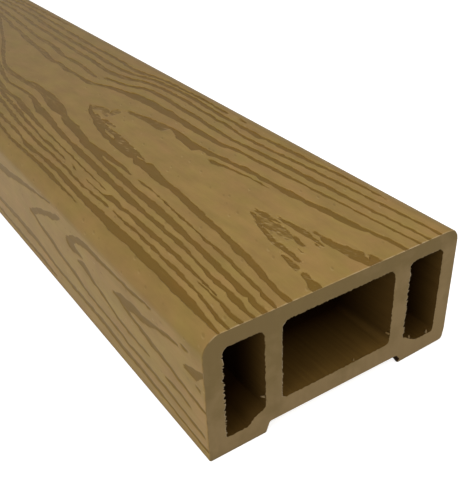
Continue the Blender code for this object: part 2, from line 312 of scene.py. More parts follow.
        (370, 28.6, 31.0), (410, 27.8, 30.4), (445, 24.0, 26.8), (465, 20.2, 22.8), (474, 19.0, 19.8)],
    "rightFourth": [(27, 43.8, 44.3), (40, 43.3, 44.5), (46, 42.8, 44.3), (55, 42.4, 44.1), (60, 41.7, 43.5),
        (66, 40.9, 43.0), (76, 40.4, 42.8), (85, 39.6, 42.2), (92, 39.6, 41.6), (95.5, 39.8, 41.2),
        (97, 38.2, 41.0), (100, 37.9, 41.0), (104, 38.6, 40.9), (112, 38.5, 40.6), (120, 39.0, 40.7),
        (126, 38.4, 40.7), (135, 38.9, 40.7), (141, 38.7, 41.1), (150, 39.3, 41.8), (160, 39.2, 41.6),
        (172, 38.4, 41.0), (186, 36.9, 39.6), (196, 34.2, 37.0), (201, 32.5, 34.9), (210, 30.9, 33.7),
        (218, 30.9, 33.0), (224, 30.6, 32.9), (230, 30.1, 33.4), (241, 30.8, 34.0), (260, 30.9, 33.9),
        (285, 30.7, 33.7), (301, 31.5, 34.5), (320, 31.6, 34.5), (341, 33.3, 35.6), (370, 33.2, 35.4),
        (420, 31.4, 34.0), (465, 27.0, 29.8), (500, 20.0, 23.0), (518, 14.2, 17.2), (530, 9.8, 11.2)],
    "rightFifth": [(113, 43.2, 43.6), (118, 42.9, 44.3), (122, 43.4, 44.2)],
    "rightFifthOn": [(127, 42.6, 43.2), (131, 41.9, 43.9), (136, 42.0, 43.8), (142, 42.8, 44.0),
        (160, 42.2, 43.8), (185, 40.8, 42.8), (200, 36.8, 39.8), (204, 36.0, 39.4), (211, 36.2, 38.5),
        (222, 36.9, 39.2), (241, 36.8, 38.8), (262, 36.2, 38.8), (286, 36.5, 39.0), (320, 37.4, 39.6),
        (360, 38.0, 40.4), (410, 36.4, 39.0), (460, 32.0, 35.0), (510, 25.4, 28.6), (550, 19.4, 22.8),
        (580, 14.2, 18.2), (600, 10.6, 16.6)],
    "newRight": [(300, 43.4, 44.0), (330, 42.4, 44.2), (380, 41.0, 43.2), (430, 38.8, 41.0), (480, 35.2, 37.6),
        (530, 30.6, 33.2), (570, 27.4, 30.0), (600, 25.4, 27.6)],
    "newRightTwo": [(385, 43.8, 44.2), (420, 42.6, 44.2), (470, 40.2, 42.2), (520, 36.6, 38.4),
        (560, 33.6, 35.4), (600, 31.7, 33.2)],
    "newRightThree": [(455, 43.8, 44.2), (490, 42.4, 43.8), (540, 39.2, 40.8), (575, 37.0, 38.6),
        (600, 35.8, 37.5)],
    "newRightFour": [(535, 43.8, 44.2), (565, 42.4, 43.8), (600, 40.7, 42.5)],
    "newLeft": [(262, -44.4, -44.0), (290, -43.4, -41.6), (340, -40.6, -38.4), (400, -37.4, -34.8),
        (460, -34.4, -31.8), (520, -32.0, -29.6), (560, -30.6, -28.2), (600, -29.7, -27.3)],
    "newLeftTwo": [(345, -44.4, -44.0), (375, -42.8, -41.2), (430, -39.4, -37.4), (490, -36.6, -34.4),
        (550, -34.2, -32.6), (600, -33.0, -31.6)],
    "newLeftThree": [(425, -44.4, -44.0), (455, -43.0, -41.4), (505, -40.6, -38.6), (555, -38.6, -36.8),
        (600, -37.4, -35.6)],
    "newLeftFour": [(505, -44.4, -44.0), (535, -43.6, -42.2), (570, -42.2, -40.8), (600, -41.4, -40.2)],
    "newLeftFive": [(560, -45.0, -44.7), (580, -44.8, -44.0), (600, -44.6, -43.6)],
}
sideGrain = {
    "foot": [(0, -91.4, -90.3), (6, -91.4, -90.1), (12, -90.9, -90.0), (20, -90.5, -89.3), (27, -90.1, -88.6),
        (35, -89.8, -87.8), (41, -89.3, -87.2), (47, -89.5, -87.0), (55, -89.4, -87.1), (63, -88.8, -86.3),
        (71, -88.0, -85.4), (90, -87.5, -85.2), (108, -87.0, -85.1), (117, -86.7, -84.8), (126, -85.7, -83.3),
        (133, -85.0, -82.2), (142, -84.8, -81.4), (150, -84.8, -81.3), (160, -84.2, -81.3), (171, -84.8, -81.5),
        (182, -84.6, -82.0), (205, -83.0, -80.4), (225, -80.6, -77.8), (243, -77.4, -74.6), (255, -74.4, -72.6),
        (262, -73.2, -72.6)],
    "low": [(1, -86.5, -85.8), (4, -86.5, -84.8), (10, -86.0, -84.3), (16, -85.4, -84.0), (21, -84.9, -83.0),
        (27, -84.3, -82.5), (32, -83.8, -82.2), (38, -84.0, -82.0), (45, -83.6, -81.6), (51, -83.9, -82.2),
        (55, -82.9, -81.1), (63, -82.2, -80.5), (68, -81.6, -80.2), (72, -81.8, -79.9), (79, -80.9, -79.7),
        (87, -80.2, -78.5), (92, -79.4, -76.6), (99, -77.8, -75.4), (106, -77.0, -74.9), (110, -76.6, -73.6),
        (114, -75.1, -71.9), (119, -73.8, -71.0), (126, -72.6, -70.4), (131, -70.6, -68.4), (135, -69.5, -67.0),
        (139, -69.0, -68.2)],
    "lowHigh": [(100, -56.0, -55.2), (104, -58.3, -55.9), (110, -61.0, -57.5), (114, -61.4, -59.0),
        (118, -62.5, -60.2), (122, -63.8, -61.0), (127, -65.8, -62.8), (131, -68.0, -64.9), (135, -69.3, -66.8),
        (138, -69.2, -68.2)],
    "mid": [(34, -77.2, -76.8), (40, -77.5, -76.1), (46, -77.3, -75.8), (54, -76.9, -75.1), (59, -75.7, -74.4),
        (64, -74.2, -72.5), (68, -73.2, -71.1), (74, -71.8, -70.2), (77, -71.4, -68.8), (80, -70.4, -66.6),
        (83, -69.4, -65.8), (87, -68.9, -66.7), (90, -68.5, -68.1)],
    "midNose": [(82, -64.8, -64.2), (86, -65.2, -63.2), (89, -65.5, -62.8), (91, -65.7, -59.6),
        (95, -66.1, -60.5), (97, -64.8, -61.3), (99, -63.3, -62.4)],
    "midHigh": [(29, -55.2, -54.4), (35, -55.5, -54.3), (41, -56.4, -55.0), (46, -57.1, -55.2),
        (52, -56.6, -55.4), (60, -57.2, -55.3), (68, -57.9, -55.5), (75, -57.8, -55.2), (80, -58.2, -55.3),
        (84, -59.1, -55.9), (88, -60.4, -57.3), (92, -62.8, -58.6), (95, -63.6, -60.4)],
    "inner": [(0, -75.0, -74.0), (4, -75.0, -73.4), (9, -74.4, -72.8), (13, -73.7, -71.9), (17, -73.4, -71.4),
        (21, -71.9, -70.3), (28, -71.4, -69.3), (33, -71.2, -68.2), (37, -70.2, -67.6), (43, -68.6, -67.0),
        (48, -68.0, -65.6), (52, -66.8, -64.4), (55, -65.6, -64.4)],
    "innerHigh": [(13, -58.2, -57.9), (17, -59.0, -57.8), (21, -60.0, -58.1), (27, -61.0, -59.6),
        (30, -61.9, -60.0), (33, -63.5, -60.7), (37, -64.6, -61.0), (43, -64.7, -60.6), (47, -65.6, -61.4),
        (52, -65.8, -61.8), (56, -65.4, -63.3), (60.5, -64.9, -64.4)],
    "innerEye": [(7, -56.8, -56.4), (9, -57.4, -55.9), (11.5, -57.4, -56.1), (13.2, -57.1, -56.8)],
    "core": [(0, -61.0, -58.9), (2.2, -62.4, -59.6), (4, -65.0, -60.6), (8, -65.2, -61.6), (10.5, -65.0, -62.8),
        (12.5, -64.8, -64.4)],
    "coreUp": [(1.5, -68.2, -67.0), (4, -68.2, -66.9), (7, -67.2, -66.6)],
    "short": [(8, -79.7, -79.3), (11, -79.8, -78.4), (16, -79.0, -77.5), (22, -79.0, -77.4),
        (26, -78.5, -78.0)],
    "high": [(108, -53.1, -52.6), (116, -54.3, -53.8), (121, -55.3, -54.4), (126, -55.9, -54.5),
        (131, -56.9, -55.1), (137, -57.9, -55.9), (142, -59.3, -56.0), (149, -60.1, -57.2), (155, -61.4, -58.4),
        (160, -62.7, -58.4), (168, -63.2, -59.4), (185, -64.6, -62.0), (210, -67.2, -64.4), (235, -70.4, -67.8),
        (252, -72.6, -70.4), (262, -73.2, -72.4)],
    "footTwo": [(117, -92.2, -91.6), (126, -92.3, -90.3), (137, -91.6, -89.7), (150, -91.8, -90.0),
        (161, -91.8, -89.6), (175, -91.5, -89.9), (200, -91.0, -88.8), (235, -89.4, -87.0), (270, -86.6, -83.8),
        (300, -82.8, -80.2), (322, -78.4, -75.6), (335, -75.2, -73.8)],
    "highTwo": [(196, -54.0, -53.6), (215, -56.0, -54.2), (240, -57.6, -55.6), (268, -61.0, -58.0),
        (295, -65.4, -62.6), (315, -69.8, -67.0), (330, -73.4, -71.6), (337, -74.6, -74.0)],
    "footThree": [(246, -92.4, -91.8), (262, -91.8, -90.2), (300, -90.2, -87.8), (340, -87.0, -84.6),
        (380, -82.0, -79.2), (405, -77.6, -74.8), (422, -73.4, -71.6)],
    "highThree": [(292, -54.2, -53.8), (315, -56.4, -54.4), (345, -58.2, -56.0), (375, -62.0, -58.8),
        (400, -66.4, -63.6), (418, -70.8, -68.4), (425, -72.6, -71.8)],
    "eyeThree": [(352, -74.4, -73.8), (366, -74.6, -72.2), (380, -72.8, -70.6), (390, -71.6, -71.0)],
    "footFour": [(330, -92.4, -91.8), (352, -91.6, -89.8), (400, -88.8, -86.4), (450, -84.4, -81.6),
        (485, -78.8, -76.0), (508, -74.2, -71.8), (518, -72.6, -71.8)],
    "highFour": [(388, -54.0, -53.6), (408, -55.8, -54.2), (440, -58.4, -55.8), (470, -62.6, -59.6),
        (495, -67.4, -64.8), (512, -71.4, -69.4), (520, -72.4, -71.8)],
    "eyeFour": [(440, -73.6, -73.0), (452, -74.0, -71.8), (468, -72.6, -69.6), (480, -70.4, -69.6)],
    "footFive": [(400, -92.4, -91.8), (425, -91.4, -89.8), (480, -87.4, -85.0), (530, -80.6, -77.8),
        (565, -73.4, -70.6), (588, -67.4, -64.2), (600, -63.6, -60.2)],
    "highFive": [(478, -54.0, -53.6), (500, -55.6, -54.2), (535, -57.0, -55.2), (570, -58.4, -56.4),
        (600, -61.0, -58.6)],
    "footSix": [(462, -92.4, -91.8), (500, -90.6, -88.8), (545, -85.6, -83.4), (580, -78.2, -76.2),
        (600, -75.0, -74.0)],
    "footSeven": [(530, -92.4, -91.8), (560, -90.0, -88.6), (590, -87.0, -85.6), (601, -86.5, -85.6)],
    "footEight": [(572, -92.4, -92.0), (600, -91.4, -90.3)],
}


skin = {
    "handRadius": 6.0,  # rounding along both hand edges
    "handSteps": 6,
    "footStart": 1.5,  # height at which the skin stops above the foot
    "grainDepth": 0.36,  # how deep the roller presses the grain in
    "sideDepth": 0.5,  # share of that on the sides, which the roller reaches at a slant
    "wallWidth": (0.42, 0.9),  # of a line's sloping walls, on top and on the sides
    "wallShare": 0.4,  # the most of a narrow line's width that one wall takes
    "narrowDepth": (0.35, 0.55),  # a narrow line is shallower: share of the depth, and its gain with the width
    "spread": (0.16, 0.5),  # how much wider than its stations a line is at each edge, on top and on the sides
    "thinnest": 0.15,
    "shortest": 3,  # a line with less than this on the rail is left out
    "edgeClear": 0.3,  # lines stay this far inside the skin's edge
    "steps": ((110, 1.5), (230, 2.2), (430, 3.5), (math.inf, 8.0)),  # a line's step, up to each distance
    "lastStep": 1.4,  # the most steps that a line's last gap takes
    "waves": ((4.0, -6.4), (0.5, 4.1), (0.6, 9.7), (0.5, 21.0)),  # share and length of each; the first one steps
    "waveDraw": (0.85, 1.2),  # each length is drawn between these shares of it
    "waveTurn": (0, 6.28),
    "waveSize": (0.055, 0.006),  # of them all, and the gain with the gap between two stations
    "joinRun": 6,  # the waves die out over this length where two lines join
    "joinReach": 0.5,
    "cornerBulge": {-1: -0.45, 1: 0.6},  # the rounding is slacker on the left and tighter on the right
    "bulgeFade": (300, 0.1),  # what is left of that beyond this distance from the near end
    "tipRun": 1.8,  # a line's end climbs out over this length
    "tipShare": 0.8,  # of it that has no separate walls
    "arris": 0.4,  # the sawn edge that is broken all round
    "repeat": 600.0,  # once round the embossing roll
    "rightShift": 287.0,  # the right side takes the left side's grain, mirrored and moved along
    "seed": 7,
    "brushed": ("noseTip", "archNose", "archNoseUnder"),  # lines that the roller only brushes
    "brushedDepth": 0.70,
    "frayed": {"noseTip": 0.6, "noseTo": 0.4, "noseRoot": 0.35, "noseLow": 0.5, "noseM": 0.6, "noseF": 0.7,
               "archNose": 0.6, "archLeftUnder": 0.7, "archLeftSpur": 0.7, "archRightUp": 0.3},
    "frayReach": 0.9,  # how far torn hairs reach beside a line
    "frayEdge": 0.1,  # and how far beside it a point still counts as torn
    # how hard the roller presses, along its round
    "paler": ((0, 1.0), (130, 1.0), (200, 0.77), (280, 0.70), (540, 0.66), (600, 1.0)),
    "weld": 1e-3,
}
flatHalf = halfWidth - skin["handRadius"]
roundEnd = flatHalf + skin["handRadius"] * math.pi / 2
skinEdge = roundEnd + railHeight - skin["handRadius"] - skin["footStart"]


def stepAt(along):
    return next(step for reach, step in skin["steps"] if along < reach)


def wander(along, waves):  # a line's edge swings a little, and steps like torn fibre
    swing = sum(share * math.sin(2 * math.pi * along / length + turn) for share, length, turn in waves[1:])
    share, length, turn = waves[0]
    return swing + share * ((along / length + turn) % 1 - 0.5)


def grainLine(stations, shift, mirror, number, name, onSide):
    dice = random.Random(skin["seed"] * 1000 + number)
    table = np.array(stations, float)
    if mirror:
        table[:, 1:] = -table[:, :0:-1]
    table[:, 0] += shift
    start, stop = table[0, 0], table[-1, 0]
    if stop < skin["shortest"] or start > railLength - skin["shortest"]:
        return None
    # an open end joins the next line round the roll, or runs out of the rail
    openStart = start <= 0 or abs(stations[0][0]) < skin["joinReach"]
    openStop = stop >= railLength or abs(stations[-1][0] - skin["repeat"]) < skin["joinReach"]
    low, high = max(start, 0.0), min(stop, railLength)
    places = [low]
    while places[-1] + skin["lastStep"] * stepAt(places[-1]) < high:
        places.append(places[-1] + stepAt(places[-1]))
    places.append(high)
    gaps = np.interp(places, (table[1:, 0] + table[:-1, 0]) / 2, np.diff(table[:, 0]))
    size, gain = skin["waveSize"]
    edges = []
    for column in (1, 2):
        waves = [(share, length * dice.uniform(*skin["waveDraw"]), dice.uniform(*skin["waveTurn"]))
                 for share, length in skin["waves"]]
        edge = np.interp(places, table[:, 0], table[:, column])
        wave = []
        for y, gap in zip(places, gaps):
            fromJoins = min((y - start) / skin["joinRun"] if openStart else 1.0,
                            (stop - y) / skin["joinRun"] if openStop else 1.0)
            wave.append(wander(y, waves) * (size + gain * gap) * max(min(1.0, fromJoins), 0.0))
        edges.append(edge + wave)
    near, far = edges
    far = np.maximum(far, near + skin["thinnest"])
    spread, limit = skin["spread"][onSide], skinEdge - skin["edgeClear"]
    near, far = np.clip(near - spread, -limit, limit), np.clip(far + spread, -limit, limit)
    frayed = max((share for opening, share in skin["frayed"].items() if name.startswith(opening)), default=0)
    return {"along": np.array(places), "near": near, "far": far, "openStart": openStart, "openStop": openStop,
            "wall": skin["wallWidth"][onSide], "frayed": frayed,
            "press": skin["brushedDepth"] if name in skin["brushed"] else 1.0}


def wallOf(line, width):
    return np.minimum(line["wall"], skin["wallShare"] * width)


def allLines():
    lines, number = [], 0
    sheets = ((topGrain, False, 0.0), (sideGrain, False, 0.0), (sideGrain, True, skin["rightShift"]))
    for turn in range(-1, int(railLength // skin["repeat"]) + 1):
        for grain, mirror, shift in sheets:
            for name, stations in grain.items():
                number += 1
                shiftNow = turn * skin["repeat"] + shift
                line = grainLine(stations, shiftNow, mirror, number, name, grain is sideGrain)
                if line:
                    lines.append(line)
    return lines


def edgesAt(line, along):
    return (np.interp(along, line["along"], line[edge]) for edge in ("near", "far"))


def pressedDepth(lines, across, along):  # share of the full depth at each point of the skin
    depth = np.zeros(len(across))
    least, gain = skin["narrowDepth"]
    for line in lines:
        first, last = line["along"][0], line["along"][-1]
        inside = np.nonzero((along >= first - 1e-6) & (along <= last + 1e-6))[0]
        y, a = along[inside], across[inside]
        near, far = edgesAt(line, y)
        rise = np.clip(np.minimum(a - near, far - a) / wallOf(line, far - near), 0, 1)
        rise *= line["press"] * np.interp(y % skin["repeat"], *zip(*skin["paler"]))
        rise *= np.minimum(1, least + gain * (far - near))
        for tip, fromTip in (("openStart", y - first), ("openStop", last - y)):
            if not line[tip]:
                rise *= np.clip(fromTip / skin["tipRun"], 0, 1)
        depth[inside] = np.maximum(depth[inside], rise)
    fromEnd = np.minimum(along, railLength - along)
    return depth * np.clip(fromEnd / skin["arris"], 0, 1)


def frayedShare(lines, across, along):  # how much each point's line is torn into hairs
    share = np.zeros(len(across))
    reach = skin["frayEdge"]
    for line in lines:
        if line["frayed"]:
            near, far = edgesAt(line, along)
            within = (along >= line["along"][0] - reach) & (along <= line["along"][-1] + reach)
            share[within & (across > near - reach) & (across < far + reach)] = line["frayed"]
    return share


def roundTheSection(across, along, depth):  # from the flat skin to its place on the rail
    reach, side = abs(across), math.copysign(1, across)
    if reach <= flatHalf:
        x, z, outX, outZ = reach, railHeight, 0.0, 1.0
    elif reach <= roundEnd:
        turn = (reach - flatHalf) / skin["handRadius"]
        outX, outZ = math.sin(turn), math.cos(turn)
        fade = np.interp(along, (0, skin["bulgeFade"][0]), (1, skin["bulgeFade"][1]))
        radius = skin["handRadius"] + fade * skin["cornerBulge"][side] * math.sin(2 * turn) ** 2
        x = flatHalf + radius * outX
        z = railHeight - skin["handRadius"] + radius * outZ
    else:
        x, z, outX, outZ = halfWidth, railHeight - skin["handRadius"] - (reach - roundEnd), 1.0, 0.0
    return Vector((side * (x - outX * depth) * mm, nearY + along * mm, cadLow.z + (z - outZ * depth) * mm))


def makeSkin():  # operators can't lay the skin's faces along the grain, so its triangles come from the lines
    lines = allLines()
    points, chains = [], []

    def addChain(places, closed=False):
        first = len(points)
        points.extend(Vector(place) for place in places)
        chains.extend((i, i + 1) for i in range(first, len(points) - 1))
        if closed:
            chains.append((len(points) - 1, first))

    addChain([(0, -skinEdge), (railLength, -skinEdge), (railLength, skinEdge), (0, skinEdge)], closed=True)
    for step in range(skin["handSteps"] + 1):
        fold = flatHalf + (roundEnd - flatHalf) * step / skin["handSteps"]
        addChain([(0, fold), (railLength, fold)])
        addChain([(0, -fold), (railLength, -fold)])
    for along in (skin["arris"], underside["lipRun"], railLength - skin["arris"]):
        addChain([(along, -skinEdge), (along, skinEdge)])
    for line in lines:
        y, near, far = line["along"], line["near"], line["far"]
        addChain(list(zip(y, near)) + list(zip(y, far))[::-1], closed=True)
        if line["frayed"]:
            reach = skin["frayReach"]
            first, last = max(y[0] - reach, 0), min(y[-1] + reach, railLength)
            addChain([(first, near[0]), *zip(y, near - reach), (last, near[-1]),
                      (last, far[-1]), *list(zip(y, far + reach))[::-1], (first, far[0])], closed=True)
        tip = skin["tipRun"] * skin["tipShare"]
        keep = np.ones(len(y), bool)
        if not line["openStart"]:
            keep &= y >= y[0] + tip
        if not line["openStop"]:
            keep &= y <= y[-1] - tip
        if keep.sum() > 1:
            wall = wallOf(line, far - near)
            addChain(list(zip(y[keep], (near + wall)[keep])))
            addChain(list(zip(y[keep], (far - wall)[keep])))
    laid = delaunay_2d_cdt(points, chains, [], 0, skin["weld"], False)
    corners, triangles = laid[0], laid[2]
    along = np.array([corner.x for corner in corners])
    across = np.array([corner.y for corner in corners])
    depth = pressedDepth(lines, across, along)
    fullDepth = skin["grainDepth"] * np.interp(abs(across), (flatHalf, roundEnd), (1, skin["sideDepth"]))
    places = [roundTheSection(a, y, d) for a, y, d in zip(across, along, depth * fullDepth)]
    sheet = bpy.data.meshes.new("handrail")
    sheet.from_pydata(places, [], [tuple(reversed(triangle)) for triangle in triangles])
    onRounding = (abs(across) > flatHalf) & (abs(across) < roundEnd)
    # the rounding's mask, which the finish uses for painted shade
    shares = {"grain": depth, "frayed": frayedShare(lines, across, along), "paintedRoundingShade": onRounding}
    for name, values in shares.items():
        mark(sheet, name, values.astype(np.float32))
    print("skin:", len(lines), "grain lines,", len(triangles), "triangles")
    return putInScene("handrail", sheet)


underside = {
    "recessDepth": 4.0,
    "recessMouth": 28.8,  # from the middle
    "recessRoot": 27.3,
    "recessRounding": 0.52,
    "upturn": 5.0,  # the feet turn up into the sides, and are trimmed where the skin starts
    "footRadius": {-1: 0.6, 1: 1.5},
    "lip": 1.3,  # the saw drags the right foot's inner edge into the recess, over the next length
    "lipRun": 6.0,
    "rootDrag": (-0.4, 0, -0.5),
    "seam": 0.01,  # the skin and the underside grow together across this
    "wornCorner": (-0.5, 0, 0.5),  # the right foot's outer corner at the near end
    "wornRun": 3.0,
    "wornReach": 1.1,
}


def makeUnderside():
    deselectAll()
    bpy.ops.mesh.primitive_plane_add(size=1, location=(0, 0, cadLow.z))
    piece = bpy.context.object
    settle(piece, (2 * halfWidth * mm, railLength * mm, 1))
    openForEditing(piece)
    for place in (underside["recessMouth"], underside["recessRoot"]):
        for side in (-1, 1):
            cutAcross((side * place, 0, 0), (1, 0, 0))
    pick("faces", lambda face: closeTo(middleOf(face).x, 0, 1))
    moveBy(0, 0, underside["recessDepth"])
    bpy.ops.mesh.select_mode(type="EDGE")
    for side in (-1, 1):
        pick("edges", lambda edge: runsAlong(edge) and side * middleOf(edge).x > halfWidth - 0.1)
        bpy.ops.mesh.extrude_edges_move(TRANSFORM_OT_translate={"value": (0, 0, underside["upturn"] * mm)})
    for side, radius in underside["footRadius"].items():
        pick("edges", lambda edge: runsAlong(edge) and side * middleOf(edge).x > halfWidth - 0.1
             and middleOf(edge).z < 0.1)
        roundEdges(radius, 4)
    recessEdge = (underside["recessMouth"] + underside["recessRoot"]) / 2
    pick("edges", lambda edge: runsAlong(edge) and closeTo(abs(middleOf(edge).x), recessEdge, 1.5))
    roundEdges(underside["recessRounding"], 3)
    cutAcross((0, 0, skin["footStart"]), (0, 0, 1))
    bpy.ops.mesh.select_mode(type="FACE")
    pick("faces", lambda face: middleOf(face).z > skin["footStart"] and abs(middleOf(face).x) > halfWidth - 0.1)
    bpy.ops.mesh.delete(type="FACE")
    for place in (nearY / mm + underside["lipRun"], nearY / mm + skin["arris"], -nearY / mm - skin["arris"]):
        cutAcross((0, place, 0), (0, 1, 0))
    bpy.ops.mesh.select_mode(type="VERT")
    pick("verts", lambda corner: corner.co.y < nearY + mm and corner.co.z < mm
         and closeTo(corner.co.x / mm, underside["recessMouth"], 1))
    moveBy(-underside["lip"], 0, 0)
    pick("verts", lambda corner: corner.co.y < nearY + mm and corner.co.z > (underside["recessDepth"] - 1) * mm
         and closeTo(corner.co.x / mm, underside["recessRoot"], 1))
    moveBy(*underside["rootDrag"])
    bpy.ops.mesh.select_all(action="SELECT")
    bpy.ops.mesh.flip_normals()
    deselectAll()
    print("underside:", len(piece.data.polygons), "faces")
    return piece


chambers = {
    # slope: the foot's two ends as (x, z). radii: top and foot. torn: how far the saw drags the left wall in
    # at the mouth, and how unevenly. tornZ: between which heights
    "middle": {"x": (-22.5, 22.5), "z": (11.0, 41.6), "slope": None, "radii": (2.9, 2.0),
               "torn": (0.05, 0.5), "tornZ": (12.8, 40.4)},
    "left": {"x": (-43.8, -28.8), "z": (6.6, 41.6), "slope": ((-28.8, 11.0), (-35.6, 6.6)), "radii": (2.7, 1.5),
             "torn": (0.5, 0.55), "tornZ": (8.4, 40.4)},
    "right": {"x": (28.8, 43.8), "z": (6.6, 41.6), "slope": ((28.8, 11.0), (35.6, 6.6)), "radii": (2.3, 1.5),
              "torn": (0.45, 1.2), "tornZ": (11.0, 40.4)},
    "seeds": {"middle": 3, "left": 8, "right": 11},
    "leftRidge": (-33.6, 0.9),  # where the left foot's slope swells into the chamber, and how far
    "footBand": 5.0,  # the foot's edges lie within this height
    "slopeRounding": 0.4,  # share of the foot's radius
    "tornReach": 0.6,
    "raggedStep": 0.6,  # spacing of the torn points round each mouth
    "raggedSize": 0.22,
    "raggedRun": 0.7,
    "mouthReach": 0.4,  # torn points up to this far in go back into the end's plane
    "longEdges": (9, 20, 60),  # edges up to each length are cut alike
    "burrWidth": 0.5,  # pale torn rim round each mouth, which also carries a painted highlight
    "burrDepth": 0.10,
    "burrUp": 0.3,  # the rim catches less light at the top than on the left
}


def squareOff(piece):  # what is selected goes back into the plane of its sawn face
    cage = bmesh.from_edit_mesh(piece.data)
    for corner in cage.verts:
        if corner.select:
            corner.co.y = math.copysign(railLength / 2 * mm, corner.co.y)
    bmesh.update_edit_mesh(piece.data)


def makeChamber(name):
    size, seed = chambers[name], chambers["seeds"][name]
    (lowX, highX), (lowZ, highZ), (topRadius, footRadius) = size["x"], size["z"], size["radii"]
    deselectAll()
    middle = ((lowX + highX) / 2 * mm, 0, cadLow.z + (lowZ + highZ) / 2 * mm)
    bpy.ops.mesh.primitive_cube_add(size=1, location=middle)
    piece = bpy.context.object
    piece.name = name + "Chamber"
    settle(piece, ((highX - lowX) * mm, railLength * mm, (highZ - lowZ) * mm))
    openForEditing(piece)
    if size["slope"]:
        (innerX, innerZ), (outerX, outerZ) = size["slope"]
        down = Vector((math.copysign(innerZ - outerZ, -innerX), 0, -abs(outerX - innerX)))
        cutAcross((innerX, 0, innerZ), down, clear_outer=True, use_fill=True)

    def endsSlope(edge):
        return any(closeTo(middleOf(edge).x, x) and closeTo(middleOf(edge).z, z) for x, z in size["slope"] or ())

    bpy.ops.mesh.select_mode(type="EDGE")
    pick("edges", lambda edge: runsAlong(edge) and middleOf(edge).z > highZ - 0.1)
    roundEdges(topRadius, 6)
    pick("edges", lambda edge: runsAlong(edge) and middleOf(edge).z < lowZ + chambers["footBand"]
         and not endsSlope(edge))
    roundEdges(footRadius, 4)
    if pick("edges", lambda edge: runsAlong(edge) and endsSlope(edge)):
        roundEdges(footRadius * chambers["slopeRounding"], 3)
    bpy.ops.mesh.select_mode(type="FACE")
    pick("faces", lambda face: abs(face.normal.y) > 0.9)
    bpy.ops.mesh.delete(type="ONLY_FACE")
    if name == "left":
        ridge, rise = chambers["leftRidge"]
        cutAcross((ridge, 0, 0), (1, 0, 0))
        bpy.ops.mesh.select_mode(type="EDGE")
        pick("edges", lambda edge: runsAlong(edge) and closeTo(middleOf(edge).x, ridge)
             and middleOf(edge).z < highZ / 2)
        moveBy(0, 0, rise)
    for place in (nearY / mm + chambers["raggedRun"], -nearY / mm - chambers["raggedRun"]):
        cutAcross((0, place, 0), (0, 1, 0))
    bpy.ops.mesh.select_mode(type="EDGE")  # each mouth is torn a little by the saw
    lengths = (2 * chambers["raggedStep"], *chambers["longEdges"])
    for sign in (-1, 1):
        for low, high in zip(lengths, lengths[1:]):
            if pick("edges", lambda edge: low < edge.calc_length() / mm <= high
                    and all(atEnd(corner, sign) for corner in edge.verts)):
                bpy.ops.mesh.subdivide(number_cuts=int((low + high) / 2 / chambers["raggedStep"]))
    bpy.ops.mesh.select_mode(type="VERT")
    pick("verts", atEnd)
    roughen(chambers["raggedSize"], seed)
    tornLow, tornHigh = size["tornZ"]
    pick("verts", lambda corner: atEnd(corner) and corner.co.x / mm < lowX + chambers["tornReach"]
         and tornLow < corner.co.z / mm < tornHigh)
    dragged, uneven = size["torn"]
    moveBy(dragged, 0, 0)
    roughen(uneven * chambers["raggedSize"], seed + 1)
    pick("verts", lambda corner: abs(corner.co.y) > (railLength / 2 - chambers["mouthReach"]) * mm)
    squareOff(piece)
    bpy.ops.mesh.select_mode(type="EDGE")
    sink = 2 * chambers["burrDepth"] / railLength
    bpy.ops.transform.resize(value=(1, 1 - sink, 1), center_override=(0, 0, 0))
    bpy.ops.mesh.extrude_edges_move()
    bpy.ops.transform.resize(value=(1, 1 + 4 * sink, 1), center_override=(0, 0, 0))
    bpy.ops.transform.shrink_fatten(value=chambers["burrWidth"] * mm)
    squareOff(piece)
    deselectAll()
    lip, up = (railLength / 2 - chambers["burrDepth"]) * mm, chambers["burrUp"]
    # painted highlight: the rim is painted paler on the left walls and a little on the top, by which way it faces
    mark(piece.data, "burrAndPaintedHighlight", [
        max(0.0, up * corner.normal.z - corner.normal.x) if closeTo(abs(corner.co.y), lip, 1e-5) else 0.0
        for corner in piece.data.vertices])
    print("chamber", name + ":", len(piece.data.polygons), "faces")
    return piece


slivers = {  # torn fibres left at the mouths: foot (x, z), direction (x, z), length, and how dull
    "leftLowRight": ((-28.7, 15.0), (-1.0, 0.55), 1.9, 0.2),
    "middleLowRight": ((22.7, 15.0), (-1.0, 0.8), 2.2, 0.75),
    "middleFloorPaintedLight": ((7.2, 10.9), (0.2, 1.0), 1.0, 0.7),
    "rightFoot": ((32.6, 8.4), (0.1, 1.0), 1.2, 0.5),
    "rightFootTwo": ((41.2, 6.5), (0.1, 1.0), 1.5, 0.5),
    "rightWall": ((28.9, 36.5), (1.0, 0.2), 0.9, 0.0),
    "rightWallTwo": ((28.9, 20.8), (1.0, -0.4), 1.0, 0.0),
    "leftWall": ((-43.5, 31.0), (1.0, 0.3), 0.8, 0.3),
    "middleWall": ((-22.3, 20.5), (1.0, 0.2), 0.8, 0.3),
}
sliverShape = {
    "root": 0.45,
    "tip": 0.15,
    "roughness": 0.13,
    "fromMouth": 0.7,
    "standsOut": 0.4,  # how far its middle is from its foot, as a share of its length
    "mark": 2.0,  # its burr value, to which how dull it is gets added
}


def makeSliver(name, seed):
    (footX, footZ), (towardX, towardZ), length, dull = slivers[name]
    toward = Vector((towardX, 0, towardZ)).normalized()
    foot = Vector((footX, nearY / mm + sliverShape["fromMouth"], footZ))
    middle = foot + toward * length * sliverShape["standsOut"]
    deselectAll()
    bpy.ops.mesh.primitive_cone_add(
        vertices=6, radius1=sliverShape["root"] * mm, radius2=sliverShape["tip"] * mm, depth=length * mm,
        location=middle * mm, rotation=toward.to_track_quat("Z", "Y").to_euler())
    piece = bpy.context.object
    piece.name = name
    settle(piece)
    openForEditing(piece, "EDGE")
    bpy.ops.mesh.select_all(action="SELECT")
    bpy.ops.mesh.subdivide(number_cuts=1)
    roughen(sliverShape["roughness"], seed)
    deselectAll()
    mark(piece.data, "burrAndPaintedHighlight", [sliverShape["mark"] + dull] * len(piece.data.vertices))
    return piece


